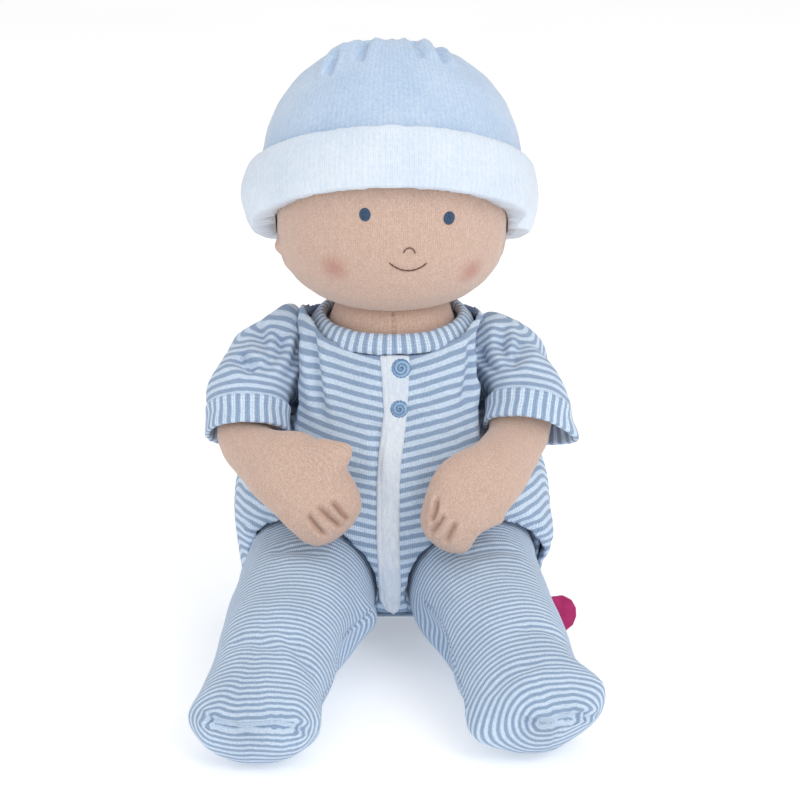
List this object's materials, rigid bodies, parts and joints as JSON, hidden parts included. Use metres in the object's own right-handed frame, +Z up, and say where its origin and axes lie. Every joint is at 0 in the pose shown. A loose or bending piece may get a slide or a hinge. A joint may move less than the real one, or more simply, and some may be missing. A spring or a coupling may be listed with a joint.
{
  "type": "interactive baby doll",
  "caption": "Soft stuffed baby doll, seated, in a striped footed romper and a turned-up hat, with jointed head, arms and legs and a voice module in its tummy.",
  "frame": {"origin": "on the floor under the middle of the seated doll's bounding box", "axes": "+Z up, the doll faces -Y, its left side is +X"},
  "size_m": [0.1754, 0.2418, 0.2769],
  "materials": {
    "skin_knit": "brushed knit",
    "striped_jersey": "striped single jersey",
    "blue_velour": "velour",
    "white_knit": "soft knit",
    "navy_thread": "satin stitch",
    "brown_thread": "backstitch",
    "blue_crochet": "crochet",
    "crimson_label": "woven tape",
    "stuffed_cloth": "calico",
    "gusset_cloth": "plain weave",
    "case_plastic": "moulded",
    "button_plastic": "moulded",
    "speaker_plastic": "moulded",
    "board_green": "solder mask",
    "steel": "plated"
  },
  "bodies": {
    "trunk": {"torso": "stuffed_cloth", "romper_body": "striped_jersey", "collar_band": "striped_jersey", "placket": "white_knit", "button_upper": "blue_crochet", "button_lower": "blue_crochet", "module_front": "case_plastic", "module_back": "case_plastic", "speaker": "speaker_plastic", "circuit_board": "board_green", "cell_1": "steel", "cell_2": "steel", "battery_door": "case_plastic", "door_screw": "steel", "button_spring": "steel"},
    "neck": {"neck": "skin_knit"},
    "head": {"head": "skin_knit", "eye_right": "navy_thread", "eye_left": "navy_thread", "nose_stitch": "brown_thread", "mouth_stitch": "brown_thread"},
    "hat": {"hat_crown": "blue_velour", "hat_brim": "white_knit"},
    "voice_button": {"voice_button": "button_plastic"},
    "shoulder_right": {"shoulder_gusset_right": "gusset_cloth"},
    "arm_right": {"right_arm": "skin_knit", "romper_sleeve_right": "striped_jersey", "cuff_right": "striped_jersey"},
    "hip_right": {"hip_gusset_right": "gusset_cloth"},
    "leg_right": {"right_leg": "stuffed_cloth", "romper_leg_right": "striped_jersey"},
    "shoulder_left": {"shoulder_gusset_left": "gusset_cloth"},
    "arm_left": {"left_arm": "skin_knit", "romper_sleeve_left": "striped_jersey", "cuff_left": "striped_jersey"},
    "hip_left": {"hip_gusset_left": "gusset_cloth"},
    "leg_left": {"left_leg": "stuffed_cloth", "romper_leg_left": "striped_jersey", "side_label": "crimson_label"}
  },
  "joints": [
    {"name": "head_nod", "type": "hinge", "parent": "trunk", "child": "neck", "pos_m": [0, 0.054, 0.142], "axis": [1, 0, 0], "range_deg": [-5, 12]},
    {"name": "head_turn", "type": "hinge", "parent": "neck", "child": "head", "pos_m": [0, 0.054, 0.142], "axis": [0, 0, 1], "range_deg": [-40, 40]},
    {"name": "hat_lift", "type": "slide", "parent": "head", "child": "hat", "axis": [0, 0.515, 0.8572], "range_m": [0, 0.07]},
    {"name": "button_press", "type": "slide", "parent": "trunk", "child": "voice_button", "axis": [0, 1, 0], "range_m": [0, 0.0015], "stiffness_N_per_m": 300, "springref_m": -0.001, "deforming": ["button_spring"]},
    {"name": "arm_swing_right", "type": "hinge", "parent": "trunk", "child": "shoulder_right", "pos_m": [-0.054, 0.054, 0.125], "axis": [1, 0, 0], "range_deg": [-55, 0]},
    {"name": "arm_spread_right", "type": "hinge", "parent": "shoulder_right", "child": "arm_right", "pos_m": [-0.054, 0.054, 0.125], "axis": [0, 0.342, -0.9397], "range_deg": [0, 60]},
    {"name": "leg_swing_right", "type": "hinge", "parent": "trunk", "child": "hip_right", "pos_m": [-0.036, 0.026, 0.035], "axis": [1, 0, 0], "range_deg": [0, 85]},
    {"name": "leg_spread_right", "type": "hinge", "parent": "hip_right", "child": "leg_right", "pos_m": [-0.036, 0.026, 0.035], "axis": [0, 0, -1], "range_deg": [0, 16]},
    {"name": "arm_swing_left", "type": "hinge", "parent": "trunk", "child": "shoulder_left", "pos_m": [0.0525, 0.054, 0.125], "axis": [1, 0, 0], "range_deg": [-55, 0]},
    {"name": "arm_spread_left", "type": "hinge", "parent": "shoulder_left", "child": "arm_left", "pos_m": [0.0525, 0.054, 0.125], "axis": [0, -0.342, 0.9397], "range_deg": [0, 60]},
    {"name": "leg_swing_left", "type": "hinge", "parent": "trunk", "child": "hip_left", "pos_m": [0.036, 0.026, 0.035], "axis": [1, 0, 0], "range_deg": [0, 85]},
    {"name": "leg_spread_left", "type": "hinge", "parent": "hip_left", "child": "leg_left", "pos_m": [0.036, 0.026, 0.035], "axis": [0, 0, 1], "range_deg": [0, 16]}
  ]
}
